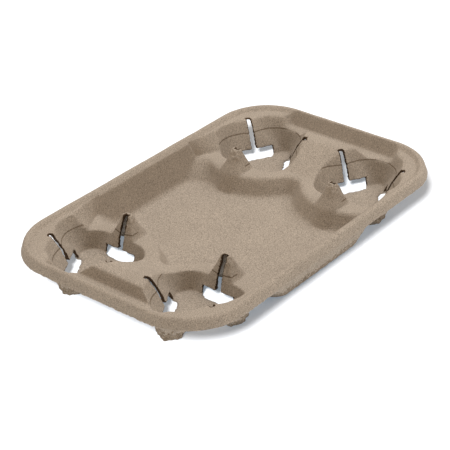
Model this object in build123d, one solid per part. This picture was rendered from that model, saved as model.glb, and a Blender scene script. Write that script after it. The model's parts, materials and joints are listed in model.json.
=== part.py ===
"""Moulded-fibre carrier for four cups, with a food well between two pairs of cup pockets.

One pressed shell of even wall. It stands on its floor at z = 0 with the origin under its middle,
X runs along its length and Y across its width. The shell is the space between two like forms:
the upper face, and the same form sunk into the material by the wall.
"""
import os
from math import atan2, cos, degrees, radians, sin, sqrt, tan

from build123d import *

# Overall form
length = 367.0
width = 231.0
height = 40.0
wall = 2.0

# Rim: a rounded crest with a short skirt that leans outwards
corner_radius = 0.2425 * width
skirt_drop = height / 4
skirt_lean = 18.0
rim_round = 3.2
rim_crest_width = 4.4
rim_inner_lean = 45.0

# Flange between the rim and the pockets
flange_drop = 3.5
flange = height - flange_drop

# Pockets: three lobes with three ribs between them that grip the cup; radii go from the pocket's middle
pocket_x = length / 2 - 0.2814 * width
pocket_y = 0.2425 * width
pocket_radius = 0.2056 * width
rib_count = 3
crease = 0.625 * height
lobe_radius_top = pocket_radius + 1.5
lobe_radius_crease = pocket_radius - 4.5
lobe_radius_floor = pocket_radius - 9
rib_radius_top = 0.86 * pocket_radius
rib_radius_flange = 0.81 * pocket_radius
rib_radius_crease = 0.65 * pocket_radius
rib_radius_floor = 0.46 * pocket_radius
food_rib_radius_crease = 0.68 * pocket_radius
food_rib_radius_floor = 0.57 * pocket_radius
rib_splay_flange = 8.0
rib_splay_crease = 15.0

# Ring wall on the food side of each pocket
ring_crest = height / 2
ring_radius = 1.137 * pocket_radius
ring_lean = 25.0
ring_round = 5.0
ring_round_steps = 3
valley_round = 6.0

# Food well, between the ring walls and the two long walls
well_half_width = width / 2 - 11.5
well_lean = 10.5
well_corner = 10.0
well_corner_growth = 0.44
foot_round = 6.0

# Shelf over the rings, where the well opens into the pockets: distances from the pocket's middle
shelf_crest_inner_x = 1.04 * pocket_radius
shelf_crest_outer_x = 0.45 * pocket_radius
shelf_flange_inner_x = 1.19 * pocket_radius
shelf_flange_outer_x = 0.39 * pocket_radius
shelf_crest_outer_y = 0.67 * pocket_radius
shelf_flange_outer_y = 0.97 * pocket_radius
shelf_setback = 1.2

# Ramp between the two pockets of a pair
ramp_foot_x = pocket_x - 18.5
ramp_top_x = pocket_x + 20.5

# Peak over the rib on the food side
peak_inner_radius = 0.3 * pocket_radius
peak_outer_radius_top = pocket_radius - 4
peak_outer_radius_shoulder = pocket_radius + 10
peak_outer_radius_foot = pocket_radius + 16.5
peak_half_width_top = 3.4
peak_half_width_shoulder = 13.0
peak_half_width_foot = 18.0
peak_roundness = 0.9

# Trough along each end, behind the ramp
trough_floor = 0.65 * height
trough_inner_x = length / 2 - 26.5
trough_outer_x = length / 2 - 13.5
trough_half_width = width / 2 - 53.5
trough_lean = 25.0
trough_corner = 6.0

# Cuts through the ribs
slit_top_width = 3.2
slit_base_width = 6.0
slit_outer_radius = 0.875 * pocket_radius
window_radius = 0.34 * pocket_radius
window_half_width = 0.42 * pocket_radius
food_window_radius = 0.474 * pocket_radius
food_window_half_width = 0.36 * pocket_radius
window_length = 0.46 * pocket_radius
window_corner = 0.21 * pocket_radius
window_top = 0.24 * height

# Room for the cuts past a face
overlap = 2.0


def into_material(inset, lean):
    """Sideways shift that keeps an even wall where a leaning side meets a level that sinks by inset."""
    return inset * tan(radians(45 - lean / 2))


def polar(radius, angle):
    """Point in the plan at a distance and a direction from the origin."""
    return Vector(radius * cos(angle), radius * sin(angle))


def plate(half_x, half_y, corner, z):
    """Rounded rectangle, centred on the origin, at one height."""
    return Pos(0, 0, z) * RectangleRounded(2 * half_x, 2 * half_y, corner)


def tapered_plate(half_x, half_y, corner, z, lean, rise):
    """Block between a rounded rectangle at height z and a wider one, further up or down by rise."""
    grow = abs(rise) * tan(radians(lean))
    wider = plate(half_x + grow, half_y + grow, corner + grow, z + rise)
    return loft([plate(half_x, half_y, corner, z), wider], ruled=True)


def outer_block(inset):
    """Everything under the rim crest and inside the skirt."""
    shift = into_material(inset, skirt_lean) + skirt_drop * tan(radians(skirt_lean))
    depth = height - inset + (overlap if inset else 0)
    return tapered_plate(length / 2 - shift, width / 2 - shift, corner_radius - shift,
                         height - inset, skirt_lean, -depth)


def recess(inset):
    """Space above the flange, inside the crest of the rim."""
    shift = skirt_drop * tan(radians(skirt_lean)) + rim_crest_width
    shift += flange_drop * tan(radians(rim_inner_lean)) - into_material(inset, rim_inner_lean)
    return tapered_plate(length / 2 - shift, width / 2 - shift, corner_radius - shift,
                         flange - inset, rim_inner_lean, flange_drop + overlap)


def ring_profile(inset):
    """Radius and height of the ring wall, from its foot over its rounded crest to above the tray."""
    foot = wall - inset
    lean = radians(ring_lean)
    points = [(ring_radius + (ring_crest - foot) * tan(lean) - inset / cos(lean), foot)]
    round_radius = ring_radius - into_material(ring_round, ring_lean)
    for step in range(ring_round_steps + 1):
        angle = lean + (radians(90) - lean) * step / ring_round_steps
        radius = round_radius + (ring_round - inset) * cos(angle)
        points.append((radius, ring_crest - ring_round + (ring_round - inset) * sin(angle)))
    return points + [(round_radius, height + overlap)]


def arc(centre, start, end, radius):
    """Arc round a centre, on the side of its chord."""
    chord_middle = (Vector(*start) + Vector(*end)) / 2
    halfway = Vector(*centre) + (chord_middle - Vector(*centre)).normalized() * radius
    return ThreePointArc(start, halfway, end)


def long_wall(z, inset):
    """Distance of the well's long walls from the middle, at one height."""
    lean = radians(well_lean)
    return well_half_width - (flange - z) * tan(lean) + inset / cos(lean)


def well_outline(radius, z, inset):
    """Plan of the food well at one height: long walls, round corners, ring walls and valleys."""
    shift = into_material(inset, ring_lean)
    half_width = long_wall(z, inset)
    corner = well_corner + well_corner_growth * abs(ring_crest - z) + shift
    valley = valley_round + (z - wall + inset) * tan(radians(ring_lean)) + shift
    pocket_centre = Vector(pocket_x, pocket_y)
    corner_y = half_width - corner
    corner_x = pocket_x - sqrt((radius + corner) ** 2 - (corner_y - pocket_y) ** 2)
    corner_centre = Vector(corner_x, corner_y)
    valley_centre = Vector(pocket_x - sqrt((radius + valley) ** 2 - pocket_y ** 2), 0)
    from_corner = corner_centre + (pocket_centre - corner_centre) * corner / (radius + corner)
    from_valley = valley_centre + (pocket_centre - valley_centre) * valley / (radius + valley)
    joins = [Vector(corner_x, half_width), from_corner, from_valley]
    joins += [Vector(join.X, -join.Y) for join in reversed(joins)]
    centres = [corner_centre, pocket_centre, valley_centre]
    centres += [Vector(centre.X, -centre.Y) for centre in reversed(centres[:2])]
    radii = [corner, radius, valley, radius, corner]
    edges = []
    for turn in (1, -1):
        edges.append(Line((-turn * corner_x, turn * half_width), (turn * corner_x, turn * half_width)))
        for centre, start, end, size in zip(centres, joins, joins[1:], radii):
            edges.append(arc(centre * turn, start * turn, end * turn, size))
    return Pos(0, 0, z) * make_face(Wire(edges))


def well(inset):
    """Space of the food well, with a rounded foot."""
    space = loft([well_outline(radius, z, inset) for radius, z in ring_profile(inset)], ruled=True)
    foot = space.edges().group_by(Axis.Z)[0]
    return fillet(foot, foot_round + inset)


def shelf(inset, row):
    """Space over one pair of rings, between the well and the pockets."""
    levels = [
        (ring_crest, shelf_crest_inner_x, shelf_crest_outer_x, shelf_crest_outer_y),
        (flange, shelf_flange_inner_x, shelf_flange_outer_x, shelf_flange_outer_y),
    ]
    sections = []
    for z, inner, outer, outer_y in levels:
        half_width = long_wall(z, 0) + shelf_setback
        near, far = row * (pocket_x - inner), row * (pocket_x - outer)
        reach = pocket_y + outer_y
        corners = [(near, -half_width), (far, -reach), (far, reach), (near, half_width)]
        plan = make_face(Polyline(*corners, close=True))
        plan = offset(plan, into_material(inset, well_lean), kind=Kind.INTERSECTION)
        sections.append(Pos(0, 0, z - inset) * plan)
    space = loft(sections, ruled=True)
    return space + extrude(space.faces().sort_by(Axis.Z)[-1], flange_drop + overlap)


def ramp(inset, row):
    """Space over the ground between two pockets, which slopes from the ring crest up to the flange."""
    slope = degrees(atan2(flange - ring_crest, ramp_top_x - ramp_foot_x))
    shift = into_material(inset, 90 - slope)
    start = row * (pocket_x - shelf_crest_inner_x + overlap)
    foot, top = row * (ramp_foot_x + shift), row * (ramp_top_x + shift)
    above = height + overlap
    profile = Polyline((start, ring_crest - inset), (foot, ring_crest - inset), (top, flange - inset),
                       (top, above), (start, above), close=True)
    return extrude(Plane.XZ * make_face(profile), amount=pocket_y, both=True)


def lobed_outline(ribs, splay, lobe, shift, z, row, side):
    """Closed curve round a pocket: every rib a blunt wedge, with an arc from one rib to the next."""
    first = 90 + 90 * row
    half_turn = 180 / rib_count
    gap = radians(half_turn + splay)
    sides = [radius * cos(radians(splay)) for radius in ribs]
    tips = []
    for rib, radius in enumerate(ribs):
        tips.append(polar(radius + shift / cos(radians(splay)), radians(first + 2 * half_turn * rib)))
    edges = []
    for rib in range(rib_count):
        here, beyond = sides[rib], sides[(rib + 1) % rib_count]
        middle = radians(first + half_turn * (2 * rib + 1))
        mean = (here + beyond) / 2
        rounding = (mean - lobe * cos(gap)) / (1 - cos(gap))
        centre = polar((mean - rounding) / cos(gap), middle)
        centre += polar((beyond - here) / 2 / sin(gap), middle + radians(90))
        start, halfway, end = [centre + polar(rounding + shift, middle + turn) for turn in (-gap, 0, gap)]
        edges += [Line(tips[rib], start), ThreePointArc(start, halfway, end)]
        edges.append(Line(end, tips[(rib + 1) % rib_count]))
    return Pos(row * pocket_x, side * pocket_y, z) * make_face(Wire(edges))


def pocket(inset, row, side):
    """Space of one cup pocket: a steep cup under a wider funnel, both drawn in at the ribs."""
    levels = [
        (wall, lobe_radius_floor, rib_radius_floor, food_rib_radius_floor, 0),
        (crease, lobe_radius_crease, rib_radius_crease, food_rib_radius_crease, rib_splay_crease),
        (flange, pocket_radius, rib_radius_flange, rib_radius_flange, rib_splay_flange),
        (height + overlap, lobe_radius_top, rib_radius_top, rib_radius_top, rib_splay_flange),
    ]
    lean = degrees(atan2(lobe_radius_crease - lobe_radius_floor, crease - wall))
    shift = into_material(inset, lean)
    sections = []
    for z, lobe, rib, food_rib, splay in levels:
        ribs = [food_rib] + [rib] * (rib_count - 1)
        sections.append(lobed_outline(ribs, splay, lobe, shift, z - inset, row, side))
    return loft(sections, ruled=True)


def peak(inset, row, side):
    """Pointed top over the rib on the food side, which stands up to the height of the rim."""
    lean = degrees(atan2(peak_half_width_shoulder - peak_half_width_top, height - ring_crest))
    shift = into_material(inset, lean)
    levels = [
        (height, peak_outer_radius_top, peak_half_width_top),
        (ring_crest, peak_outer_radius_shoulder, peak_half_width_shoulder),
        (wall, peak_outer_radius_foot, peak_half_width_foot),
    ]
    sections = []
    for z, outer, half_width in levels:
        reach = outer - shift - peak_inner_radius
        middle = pocket_x - peak_inner_radius - reach / 2
        across = 2 * (half_width - shift)
        plan = RectangleRounded(reach, across, peak_roundness * across / 2)
        sections.append(Pos(row * middle, side * pocket_y, z - inset) * plan)
    return loft(sections, ruled=True)


def trough(inset, row):
    """Channel along one end, between the ramp and the rim."""
    shift = into_material(inset, trough_lean)
    half_x = (trough_outer_x - trough_inner_x) / 2 + shift
    space = tapered_plate(half_x, trough_half_width + shift, trough_corner, trough_floor - inset,
                          trough_lean, height - trough_floor + overlap)
    return Pos(row * (trough_outer_x + trough_inner_x) / 2, 0, 0) * space


def form(inset):
    """The upper face of the tray as a solid block, sunk into the material by inset."""
    block = outer_block(inset) - recess(inset)
    crest = block.edges().group_by(Axis.Z)[-1]
    block = fillet(crest, rim_round - inset)
    if inset:
        below = height - skirt_drop + overlap
        block += Pos(0, 0, below / 2 - overlap) * Box(2 * length, 2 * width, below)
    block -= well(inset)
    pockets = [(row, side) for row in (-1, 1) for side in (-1, 1)]
    for row in (-1, 1):
        block -= shelf(inset, row)
        block -= ramp(inset, row)
    for row, side in pockets:
        block += peak(inset, row, side)
    for row, side in pockets:
        block -= pocket(inset, row, side)
    for row in (-1, 1):
        block -= trough(inset, row)
    return block


def rib_cut(radius, half_width):
    """Slit that splits a rib, and the window at its foot through the cup wall and part of its floor."""
    narrow, wide = slit_top_width / 2, slit_base_width / 2
    start = radius + overlap
    corners = [(start, -wide), (slit_outer_radius, -narrow), (slit_outer_radius, narrow), (start, wide)]
    slit = make_face(Polyline(*corners, close=True))
    window = RectangleRounded(window_length, 2 * half_width, window_corner)
    window = Pos(radius + window_length / 2, 0) * window
    space = extrude(slit, amount=height + 2 * overlap) + extrude(window, amount=window_top + overlap)
    return Pos(0, 0, -overlap) * space


def cup_carrier():
    """The whole tray: the shell, with every rib split and opened at its foot."""
    shell = form(0) - form(wall)
    for row in (-1, 1):
        for side in (-1, 1):
            place = Pos(row * pocket_x, side * pocket_y, 0)
            for rib in range(rib_count):
                size = (food_window_radius, food_window_half_width)
                if rib:
                    size = (window_radius, window_half_width)
                shell -= place * Rot(0, 0, 90 + 90 * row + rib * 360 / rib_count) * rib_cut(*size)
    return shell


tray = cup_carrier()
tray.label = "cup_carrier"
os.makedirs("parts", exist_ok=True)
export_step(tray, "parts/cup_carrier.step")
print("volume", round(tray.volume), "solids", len(tray.solids()), "faces", len(tray.faces()))
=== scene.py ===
"""Dresses the four-cup carrier in moulded pulp and sets it on a white studio floor."""
import bpy
import bmesh
import json
from math import copysign, cos, hypot, radians, sin
from mathutils import Matrix, Vector, noise


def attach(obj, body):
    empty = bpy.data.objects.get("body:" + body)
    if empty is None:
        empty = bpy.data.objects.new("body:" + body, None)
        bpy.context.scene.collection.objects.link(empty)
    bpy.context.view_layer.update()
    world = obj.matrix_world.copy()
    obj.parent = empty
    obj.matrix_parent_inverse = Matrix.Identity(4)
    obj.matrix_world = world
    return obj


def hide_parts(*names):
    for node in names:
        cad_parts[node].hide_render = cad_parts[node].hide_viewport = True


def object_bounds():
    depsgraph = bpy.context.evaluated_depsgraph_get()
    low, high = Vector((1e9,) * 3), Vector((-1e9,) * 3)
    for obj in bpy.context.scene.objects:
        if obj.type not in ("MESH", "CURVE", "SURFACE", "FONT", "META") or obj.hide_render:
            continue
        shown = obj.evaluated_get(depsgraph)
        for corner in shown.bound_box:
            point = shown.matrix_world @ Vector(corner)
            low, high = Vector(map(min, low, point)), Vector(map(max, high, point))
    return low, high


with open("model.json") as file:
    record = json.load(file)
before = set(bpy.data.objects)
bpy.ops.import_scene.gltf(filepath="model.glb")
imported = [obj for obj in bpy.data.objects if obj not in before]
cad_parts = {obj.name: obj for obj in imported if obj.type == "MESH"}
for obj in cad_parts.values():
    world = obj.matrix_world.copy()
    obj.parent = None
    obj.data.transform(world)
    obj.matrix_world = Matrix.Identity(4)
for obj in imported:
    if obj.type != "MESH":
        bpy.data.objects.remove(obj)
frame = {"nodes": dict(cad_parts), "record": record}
cad_box = [list(corner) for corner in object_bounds()]
mounts = {mount["name"]: mount["pos_m"] for mount in frame["record"]["mounts"]}

# The tray, in metres
HALF_LENGTH, HALF_WIDTH, CREST_HEIGHT = cad_box[1]
SKIRT_EDGE = 0.030
SKIRT_BAND = 0.0055
RIM_X = HALF_LENGTH - SKIRT_BAND
RIM_Y = HALF_WIDTH - SKIRT_BAND
POCKET_X, POCKET_Y = mounts["pocket_4"][:2]
POCKET_RADIUS = 0.0475
CREASE = 0.025
PEAK_X = POCKET_X - 0.042

# Slits up the ribs and windows at their feet, along each rib from the middle of its pocket.
# A window is given by its start and half its width.
FOOD_RIB = 180
END_RIBS = (60, -60)
SLIT_END = 0.0416
SLIT_TOP_HALF, SLIT_BASE_HALF = 0.0016, 0.0030
END_WINDOW = (0.01615, 0.01995)
FOOD_WINDOW = (0.0225, 0.0171)
WINDOW_LENGTH = 0.02185
WINDOW_TOP = 0.0096
WINDOW_CORNER = 0.010

# Skin of small facets, and how often the folds of each zone are smoothed
MERGE_REACH = 1e-6
VOXEL = 0.00078
SMOOTH_FACTOR = 0.5
SMOOTH_PASSES, PLATEAU_PASSES, EDGE_PASSES, TROUGH_PASSES = 4, 10, 30, 110
CUT_STIFFNESS, CUT_REACH = 0.25, 0.0016
MOST_TRIANGLES = 190000

# Zones with rounder folds: the plateaus clear of the peaks, their upper edges, and the channels' ends
PLATEAU_X, PLATEAU_Y = 0.154, 0.098
PLATEAU_LOW, PLATEAU_HIGH, EDGE_LOW = 0.010, 0.0385, 0.023
PEAK_REACH = 0.020
TROUGH_X, TROUGH_Y, TROUGH_REACH = 0.153, 0.062, 0.017

# Relief all over, and on faces that look down
WAVE_SIZE, WAVE_DEPTH = 0.030, 0.00025
LUMP_SIZE, LUMP_DEPTH = 0.006, 0.00010
UNDER_SIZE, UNDER_DEPTH, UNDER_TILT = 0.0035, 0.00045, -0.05

# Torn skirt and peaks, raised tips of the peaks, and ragged cuts
TEAR_SIZE, TEAR_DEPTH, TEAR_REACH = 0.0028, 0.0008, 0.012
SKIRT_TEAR, PEAK_TEAR = 0.0015, 0.008
KNOB_REACH, KNOB_LOW, KNOB_FADE, KNOB_RISE = 0.009, 0.024, 0.006, 0.0022
RAGGED_SIZE, RAGGED_DEPTH, RAGGED_SEED = 0.0032, 0.0005, 4

# Pulp gathered on the feet, and its coarse skin near the floor, painted dark as the shade under the skirt
FOOT_TOP, FOOT_BUILD, FOOT_FADE = 0.018, 0.0022, 0.008
FOOT_FACING, FOOT_LUMPS = 0.3, 0.6
ROUGH_SHADE_TOP, ROUGH_SHADE_WANDER = 0.009, 0.007
ROUGH_SHADE_TILT, ROUGH_SHADE_FACING = 0.3, 0.25

# Torn faces, dark with painted shade in the cuts: depth of the open walls, and the fringe of skin beside
# them, which widens up the slits
TORN_SHADE_LOW, TORN_SHADE_WALL = 0.003, 0.0012
FRINGE, FRINGE_LOW, FRINGE_GROWTH = 0.0007, 0.022, 0.035
PROBE = 0.0003

# Finishes of the pulp: name, darker and paler tone, darkest and palest grain
FINISHES = (
    ("moulded_pulp", (0.407, 0.353, 0.297), (0.447, 0.389, 0.328), 0.52, 1.44),
    # Torn fibres in the slits and windows, painted dark as the shade in the cuts
    ("torn_pulp_painted_shade", (0.045, 0.028, 0.017), (0.10, 0.066, 0.040), 0.4, 1.6),
    # Coarse fibres near the floor, painted dark as the shade under the skirt
    ("coarse_pulp_painted_shade", (0.22, 0.175, 0.13), (0.33, 0.275, 0.215), 0.35, 1.6),
)
# The torn and coarse finishes are dark with painted shade.
MOULDED, TORN_PAINTED_SHADE, COARSE_PAINTED_SHADE = range(3)
PULP_ROUGHNESS, PULP_SHINE = 0.95, 0.12
DARK_STOP, PALE_STOP = 0.3, 0.7
FELT_STRENGTH, FELT_DEPTH = 0.6, 0.0006

# Scale, detail and roughness of the noise for the tone, the fibres, the felted bump and the fold line
CLOUDS = (28, 3, 0.6)
FIBRES = (1150, 2, 0.7)
FELT = (700, 4, 0.7)
WANDER = (60, 2, 0.6)

# Painted shade: a faint dark line on the steep pocket walls, standing for the shade of the crease where
# the pulp folds
FOLD_SHADE_COLOUR = (0.52, 0.48, 0.44)
FOLD_HALF = 0.00055
FOLD_WANDER = 0.002
FOLD_RADIUS = POCKET_RADIUS - 0.0035
FOLD_TILT = 0.66

# Studio, with a floor that is dropped clear of the feet
WHITE = (1, 1, 1)
FLOOR_SIZE, FLOOR_DROP = 4, 0.0002
FLOOR_UNSEEN, FLOOR_SEEN = (0.62, 0.60, 0.57), (0.70, 0.71, 0.73)
GLOW_COLOUR, GLOW_STRENGTH = (0.66, 0.82, 1), 0.25
WORLD_LIGHT = (0.385, 0.305, 0.22)
LAMP_DISTANCE = 2.0

# Camera, turned about the middle of the rim's crest: degrees, metres and, for the lens, millimetres
CAMERA_AZIMUTH, CAMERA_ELEVATION, CAMERA_ROLL = -50.018, 30.786, -1.696
CAMERA_RIGHT, CAMERA_UP, CAMERA_DISTANCE = 0.00605, 0.02363, 1.31503
CAMERA_LENS, SENSOR_WIDTH = 117.59, 36.0

# Colour sockets of a Mix node
MIX_FIRST, MIX_SECOND, MIX_RESULT = 6, 7, 2


def add_object(name, data):
    """New object at the origin that shows a mesh, lamp or camera."""
    piece = bpy.data.objects.new(name, data)
    bpy.context.scene.collection.objects.link(piece)
    return piece


def bake_modifiers(piece):
    """Replaces the piece's mesh by its modified mesh and clears the modifiers."""
    graph = bpy.context.evaluated_depsgraph_get()
    finished = bpy.data.meshes.new_from_object(piece.evaluated_get(graph))
    piece.modifiers.clear()
    piece.data = finished


def merged_copy(node, name):
    """Copy of a CAD node's mesh with its loose triangles joined."""
    shell = bmesh.new()
    shell.from_mesh(node.data)
    bmesh.ops.remove_doubles(shell, verts=shell.verts, dist=MERGE_REACH)
    mesh = bpy.data.meshes.new(name)
    shell.to_mesh(mesh)
    shell.free()
    return add_object(name, mesh)


def cut_gap(place):
    """Distance from a point to the nearest slit or window, below zero inside it."""
    out = abs(place.x) - POCKET_X
    up = abs(place.y) - POCKET_Y
    nearest = None
    for turn in (FOOD_RIB, *END_RIBS):
        along = out * cos(radians(turn)) + up * sin(radians(turn))
        across = abs(up * cos(radians(turn)) - out * sin(radians(turn)))
        if nearest is None or along > nearest[0]:
            nearest = (along, across, turn)
    along, across, turn = nearest
    start, half_width = FOOD_WINDOW if turn == FOOD_RIB else END_WINDOW
    share = (along - start) / (SLIT_END - start)
    slit_half = SLIT_BASE_HALF + (SLIT_TOP_HALF - SLIT_BASE_HALF) * share
    slit = max(start - along, along - SLIT_END, across - slit_half)
    beyond_x = max(abs(along - start - WINDOW_LENGTH / 2) - WINDOW_LENGTH / 2 + WINDOW_CORNER, 0)
    beyond_y = max(across - half_width + WINDOW_CORNER, 0)
    window = max(hypot(beyond_x, beyond_y) - WINDOW_CORNER, place.z - WINDOW_TOP)
    return min(slit, window)


def near_cut(place):
    """Whether a point is close to the edge of a slit or window."""
    return abs(cut_gap(place)) < CUT_REACH


def from_pocket(place):
    """Level way to a point from the middle of the nearest pocket."""
    return Vector((place.x - copysign(POCKET_X, place.x), place.y - copysign(POCKET_Y, place.y), 0))


def from_peak(place):
    """Level distance from the nearest peak over a food-side rib."""
    return hypot(abs(place.x) - PEAK_X, abs(place.y) - POCKET_Y)


def on_plateau(place):
    """Whether a point is among the pockets and plateaus, whose edges are rounder than the rim's."""
    in_plan = abs(place.x) < PLATEAU_X and abs(place.y) < PLATEAU_Y and from_peak(place) > PEAK_REACH
    return in_plan and PLATEAU_LOW < place.z < PLATEAU_HIGH


def on_plateau_edge(place):
    """Whether a point is high enough on a plateau for its round upper edges."""
    return on_plateau(place) and place.z > EDGE_LOW


def at_trough_end(place):
    """Whether a point is at a round end of the channel beside an end rim."""
    to_end = hypot(abs(place.x) - TROUGH_X, abs(place.y) - TROUGH_Y)
    return to_end < TROUGH_REACH and place.z > EDGE_LOW


def soften(piece):
    """Even skin of small facets, with its folds rounded as pulp dries and its cuts left crisp."""
    skin = piece.modifiers.new("even_skin", "REMESH")
    skin.mode = "VOXEL"
    skin.voxel_size = VOXEL
    bake_modifiers(piece)
    places = [Vector(vertex.co) for vertex in piece.data.vertices]
    cuts = {index for index, place in enumerate(places) if near_cut(place)}
    zones = (
        ("folds", lambda place: True, SMOOTH_PASSES),
        ("plateaus", on_plateau, PLATEAU_PASSES),
        ("plateau_edges", on_plateau_edge, EDGE_PASSES),
        ("trough_ends", at_trough_end, TROUGH_PASSES),
    )
    for name, belongs, passes in zones:
        chosen = [index for index, place in enumerate(places) if belongs(place) and index not in cuts]
        piece.vertex_groups.new(name=name).add(chosen, 1.0, "REPLACE")
        smooth = piece.modifiers.new("soft_" + name, "SMOOTH")
        smooth.factor = SMOOTH_FACTOR
        smooth.iterations = passes
        smooth.vertex_group = name
    piece.vertex_groups["folds"].add(list(cuts), CUT_STIFFNESS, "REPLACE")
    bake_modifiers(piece)


def surface_swell(place, normal):
    """Outward swell of the waves and lumps, and of coarse pulp on the under face."""
    swell = WAVE_DEPTH * noise.noise(place / WAVE_SIZE)
    swell += LUMP_DEPTH * noise.noise(place / LUMP_SIZE)
    if normal.z < UNDER_TILT and place.z < SKIRT_EDGE:
        swell += UNDER_DEPTH * noise.noise(place / UNDER_SIZE)
    return swell


def foot_swelling(place, normal):
    """Outward push of a foot's outer face, where pulp has gathered."""
    outward = from_pocket(place)
    facing = outward.normalized().dot(normal)
    if place.z > FOOT_TOP or outward.length > POCKET_RADIUS or facing < FOOT_FACING:
        return Vector()
    lumps = 1 + FOOT_LUMPS * noise.noise(place / UNDER_SIZE)
    return outward.normalized() * FOOT_BUILD * lumps * min(1, (FOOT_TOP - place.z) / FOOT_FADE)


def torn_lift(place):
    """Rise or fall of the torn edge of the skirt and of the peaks."""
    at_edge = abs(place.x) > RIM_X or abs(place.y) > RIM_Y
    at_skirt = at_edge and place.z < SKIRT_EDGE + SKIRT_TEAR
    at_peak = from_peak(place) < TEAR_REACH and place.z > CREST_HEIGHT - PEAK_TEAR
    return TEAR_DEPTH * noise.noise(place / TEAR_SIZE) if at_skirt or at_peak else 0


def knob_lift(place):
    """Rise of a peak's torn tip."""
    tip = from_peak(place) / KNOB_REACH
    if tip >= 1 or place.z <= KNOB_LOW:
        return 0
    share = (1 - tip * tip) * min(1, (place.z - KNOB_LOW) / KNOB_FADE)
    return KNOB_RISE * share * (1 + noise.noise(place / TEAR_SIZE))


def ragged_shift(place):
    """Level shift of the torn fibres along the slits and windows."""
    if not near_cut(place):
        return Vector()
    return Vector((1, 1, 0)) * noise.noise_vector(place / RAGGED_SIZE) * RAGGED_DEPTH


def roughen(piece):
    """Shallow waves and lumps all over, gathered pulp on the feet, torn edges and ragged cuts."""
    noise.seed_set(RAGGED_SEED)
    normals = [Vector(vertex.normal) for vertex in piece.data.vertices]
    for vertex, normal in zip(piece.data.vertices, normals):
        place = vertex.co
        moved = place + normal * surface_swell(place, normal) + foot_swelling(place, normal)
        moved.z += torn_lift(place)
        moved.z += knob_lift(place)
        moved += ragged_shift(place)
        vertex.co = moved


def thin_out(piece):
    """Fewer triangles where the skin is nearly flat."""
    triangles = sum(len(face.vertices) - 2 for face in piece.data.polygons)
    fewer = piece.modifiers.new("fewer_facets", "DECIMATE")
    fewer.ratio = min(1.0, MOST_TRIANGLES / triangles)
    bake_modifiers(piece)
    for face in piece.data.polygons:
        face.use_smooth = True


def keep_in_size(piece):
    """Brings back what stands out beyond the tray's length, width and height."""
    for vertex in piece.data.vertices:
        vertex.co = [min(max(value, low), high) for value, low, high in zip(vertex.co, *cad_box)]


def is_torn_painted_shade(face):
    """Whether a face takes the painted shade of a cut: laid open by a slit or window, or in the thin
    fringe of skin beside it.
    """
    if face.center.z <= TORN_SHADE_LOW:
        return False
    gap = cut_gap(face.center)
    faces_cut = gap - cut_gap(face.center + face.normal * PROBE) > PROBE / 2
    fringe = FRINGE + FRINGE_GROWTH * max(face.center.z - FRINGE_LOW, 0)
    return abs(gap) < (TORN_SHADE_WALL if faces_cut else fringe)


def is_coarse_painted_shade(face):
    """Whether a face is on the outside near the floor, where the fibres lie coarse and the pulp is painted
    dark as the shade under the skirt.
    """
    outward = from_pocket(face.center)
    if outward.length > POCKET_RADIUS:
        outward = Vector((face.center.x, face.center.y, 0))
    facing = outward.normalized().dot(face.normal)
    edge = ROUGH_SHADE_TOP + ROUGH_SHADE_WANDER * noise.noise(face.center / TEAR_SIZE)
    return face.center.z < edge and face.normal.z < ROUGH_SHADE_TILT and facing > ROUGH_SHADE_FACING


def finish_index(face):
    """Place in the list of finishes of the one that a face takes."""
    # Dark torn faces in the cuts and coarse outer faces near the floor take painted shade.
    if is_torn_painted_shade(face):
        return TORN_PAINTED_SHADE
    return COARSE_PAINTED_SHADE if is_coarse_painted_shade(face) else MOULDED


def cloud(tree, place, pattern):
    """Cloudy values from 0 to 1, in a pattern of a given scale, detail and roughness."""
    texture = tree.nodes.new("ShaderNodeTexNoise")
    for socket, value in zip(("Scale", "Detail", "Roughness"), pattern):
        texture.inputs[socket].default_value = value
    tree.links.new(place, texture.inputs["Vector"])
    return texture.outputs["Fac"]


def ramp(tree, value, low_stop, high_stop):
    """Colour that runs from one stop's to the other's, each stop a position and a colour."""
    steps = tree.nodes.new("ShaderNodeValToRGB")
    tree.links.new(value, steps.inputs["Fac"])
    for element, (position, colour) in zip(steps.color_ramp.elements, (low_stop, high_stop)):
        element.position = position
        element.color = (*colour, 1)
    return steps.outputs["Color"]


def multiply(tree, first, second):
    """Product of two colours."""
    blend = tree.nodes.new("ShaderNodeMix")
    blend.data_type = "RGBA"
    blend.blend_type = "MULTIPLY"
    blend.inputs["Factor"].default_value = 1.0
    tree.links.new(first, blend.inputs[MIX_FIRST])
    tree.links.new(second, blend.inputs[MIX_SECOND])
    return blend.outputs[MIX_RESULT]


def choose(tree, share, first, second):
    """Fixed colour that goes from the first to the second as the share goes from 0 to 1."""
    blend = tree.nodes.new("ShaderNodeMix")
    blend.data_type = "RGBA"
    blend.inputs[MIX_FIRST].default_value = (*first, 1)
    blend.inputs[MIX_SECOND].default_value = (*second, 1)
    tree.links.new(share, blend.inputs["Factor"])
    return blend.outputs[MIX_RESULT]


def vector_math(tree, operation, first, second=(0, 0, 0)):
    """Vector Math node of a linked vector and a fixed one."""
    step = tree.nodes.new("ShaderNodeVectorMath")
    step.operation = operation
    tree.links.new(first, step.inputs[0])
    step.inputs[1].default_value = second
    return step


def plain_math(tree, operation, first, second=0.0):
    """Result of a Math node whose values are sockets or plain numbers."""
    step = tree.nodes.new("ShaderNodeMath")
    step.operation = operation
    for value, socket in zip((first, second), step.inputs):
        if isinstance(value, float):
            socket.default_value = value
        else:
            tree.links.new(value, socket)
    return step.outputs[0]


def height_of(tree, vector):
    """Z of a vector."""
    parts = tree.nodes.new("ShaderNodeSeparateXYZ")
    tree.links.new(vector, parts.inputs[0])
    return parts.outputs["Z"]


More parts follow.
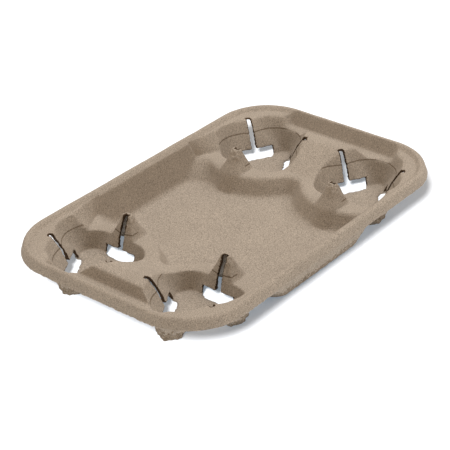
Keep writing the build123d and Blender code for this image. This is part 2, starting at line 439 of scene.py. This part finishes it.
def fold_line_shade(tree, place):
    """Painted shade of the fold crease: darkening along the uneven line round the steep walls of each
    pocket, white away from it.
    """
    quarter = vector_math(tree, "ABSOLUTE", place).outputs[0]
    offset = vector_math(tree, "SUBTRACT", quarter, (POCKET_X, POCKET_Y, CREASE)).outputs[0]
    level = vector_math(tree, "MULTIPLY", offset, (1, 1, 0)).outputs[0]
    from_middle = vector_math(tree, "LENGTH", level).outputs["Value"]
    uneven = plain_math(tree, "SUBTRACT", cloud(tree, place, WANDER), 0.5)
    wander = plain_math(tree, "MULTIPLY", uneven, FOLD_WANDER)
    off_line = plain_math(tree, "ABSOLUTE", plain_math(tree, "ADD", height_of(tree, offset), wander))
    tilt = height_of(tree, tree.nodes.new("ShaderNodeNewGeometry").outputs["Normal"])
    on_line = plain_math(tree, "LESS_THAN", off_line, FOLD_HALF)
    for value, limit in ((from_middle, FOLD_RADIUS), (tilt, FOLD_TILT)):
        within = plain_math(tree, "LESS_THAN", value, limit)
        on_line = plain_math(tree, "MULTIPLY", on_line, within)
    return ramp(tree, on_line, (0, WHITE), (1, FOLD_SHADE_COLOUR))


def pulp_material(name, dark, pale, grain_low, grain_high):
    """Paper pulp: cloudy tone, fine fibres, a faint line of painted shade along the fold in the pockets,
    and a felted bump.
    """
    material = bpy.data.materials.new(name)
    material.use_nodes = True
    tree = material.node_tree
    shader = tree.nodes["Principled BSDF"]
    shader.inputs["Roughness"].default_value = PULP_ROUGHNESS
    shader.inputs["Specular IOR Level"].default_value = PULP_SHINE
    place = tree.nodes.new("ShaderNodeTexCoord").outputs["Object"]
    tone = ramp(tree, cloud(tree, place, CLOUDS), (DARK_STOP, dark), (PALE_STOP, pale))
    fibres = cloud(tree, place, FIBRES)
    grain = ramp(tree, fibres, (DARK_STOP, (grain_low,) * 3), (PALE_STOP, (grain_high,) * 3))
    # The last factor is painted shade along the fold line in the pockets.
    colour = multiply(tree, multiply(tree, tone, grain), fold_line_shade(tree, place))
    tree.links.new(colour, shader.inputs["Base Color"])
    bump = tree.nodes.new("ShaderNodeBump")
    bump.inputs["Strength"].default_value = FELT_STRENGTH
    bump.inputs["Distance"].default_value = FELT_DEPTH
    tree.links.new(cloud(tree, place, FELT), bump.inputs["Height"])
    tree.links.new(bump.outputs["Normal"], shader.inputs["Normal"])
    return material


def moulded_tray():
    """The tray with its skin of pulp, in place of the plain solid."""
    tray = merged_copy(frame["nodes"]["cup_carrier"], "moulded_tray")
    soften(tray)
    roughen(tray)
    thin_out(tray)
    keep_in_size(tray)
    tray.data.materials.clear()
    for finish in FINISHES:
        tray.data.materials.append(pulp_material(*finish))
    for face in tray.data.polygons:
        face.material_index = finish_index(face)
    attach(tray, "root")
    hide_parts("cup_carrier")
    return tray


def seen_rays(tree):
    """One for rays from the camera, straight, mirrored or through something clear, else zero."""
    rays = tree.nodes.new("ShaderNodeLightPath")
    seen = rays.outputs["Is Camera Ray"]
    for kind in ("Is Glossy Ray", "Is Transmission Ray"):
        seen = plain_math(tree, "MAXIMUM", seen, rays.outputs[kind])
    return seen


def floor_material():
    """Matt pale floor with a faint glow, which sends less light up to the tray than it shows."""
    material = bpy.data.materials.new("white_floor")
    material.use_nodes = True
    tree = material.node_tree
    tree.nodes.clear()
    matt = tree.nodes.new("ShaderNodeBsdfDiffuse")
    tree.links.new(choose(tree, seen_rays(tree), FLOOR_UNSEEN, FLOOR_SEEN), matt.inputs["Color"])
    glow = tree.nodes.new("ShaderNodeEmission")
    glow.inputs["Color"].default_value = (*GLOW_COLOUR, 1)
    glow.inputs["Strength"].default_value = GLOW_STRENGTH
    both = tree.nodes.new("ShaderNodeAddShader")
    tree.links.new(matt.outputs[0], both.inputs[0])
    tree.links.new(glow.outputs[0], both.inputs[1])
    out = tree.nodes.new("ShaderNodeOutputMaterial")
    tree.links.new(both.outputs[0], out.inputs["Surface"])
    return material


def white_floor():
    """Floor that is white outside the tray's shadow."""
    sheet = bmesh.new()
    place = Matrix.Translation((0, 0, -FLOOR_DROP))
    bmesh.ops.create_grid(sheet, x_segments=1, y_segments=1, size=FLOOR_SIZE, matrix=place)
    mesh = bpy.data.meshes.new("studio_floor")
    sheet.to_mesh(mesh)
    sheet.free()
    mesh.materials.append(floor_material())
    floor = add_object("studio_floor", mesh)
    return floor


def studio_world():
    """Soft light from all round, seen as white behind the floor."""
    world = bpy.data.worlds.new("studio")
    bpy.context.scene.world = world
    world.use_nodes = True
    tree = world.node_tree
    colour = choose(tree, seen_rays(tree), WORLD_LIGHT, WHITE)
    tree.links.new(colour, tree.nodes["Background"].inputs["Color"])


def direction(azimuth, elevation):
    """Way from the tray to what stands at an azimuth, 0 in front and 90 at the right, and an elevation."""
    turn, rise = radians(azimuth), radians(elevation)
    return Vector((sin(turn) * cos(rise), -cos(turn) * cos(rise), sin(rise)))


def add_lamp(name, kind, lit, azimuth, elevation, power):
    """Lamp that points at the middle of the tray and falls on the lit piece alone."""
    data = bpy.data.lights.new(name, kind)
    data.energy = power
    lamp = add_object(name, data)
    back = direction(azimuth, elevation)
    lamp.location = back * LAMP_DISTANCE
    lamp.rotation_mode = "QUATERNION"
    lamp.rotation_quaternion = back.to_track_quat("Z", "Y")
    lit_pieces = bpy.data.collections.new("lit_by_" + name)
    lit_pieces.objects.link(lit)
    lamp.light_linking.receiver_collection = lit_pieces
    return data


def studio_lamps(tray, floor):
    """Two soft square lamps on the tray, and an even light that gives the floor a narrow shadow."""
    key = add_lamp("key", "AREA", tray, azimuth=45, elevation=50, power=13)
    key.size = 1.2
    overhead = add_lamp("overhead", "AREA", tray, azimuth=165, elevation=78, power=18)
    overhead.size = 0.5
    even = add_lamp("floor_light", "SUN", floor, azimuth=-66, elevation=42, power=5.8)
    even.angle = radians(12)


def studio_camera():
    """Camera at the photograph's height and angle."""
    back = direction(CAMERA_AZIMUTH, CAMERA_ELEVATION)
    right = Vector((0, 0, 1)).cross(back).normalized()
    upright = Matrix((right, back.cross(right), back)).transposed()
    turned = upright @ Matrix.Rotation(radians(CAMERA_ROLL), 3, "Z")
    data = bpy.data.cameras.new("camera")
    data.lens = CAMERA_LENS
    data.sensor_width = SENSOR_WIDTH
    camera = add_object("camera", data)
    camera.rotation_mode = "QUATERNION"
    camera.rotation_quaternion = turned.to_quaternion()
    shift = turned @ Vector((-CAMERA_RIGHT, -CAMERA_UP, CAMERA_DISTANCE))
    camera.location = Vector((0, 0, CREST_HEIGHT)) + shift
    bpy.context.scene.camera = camera


tray = moulded_tray()
floor = white_floor()
studio_world()
studio_lamps(tray, floor)
studio_camera()
bpy.context.scene.view_settings.view_transform = "Standard"
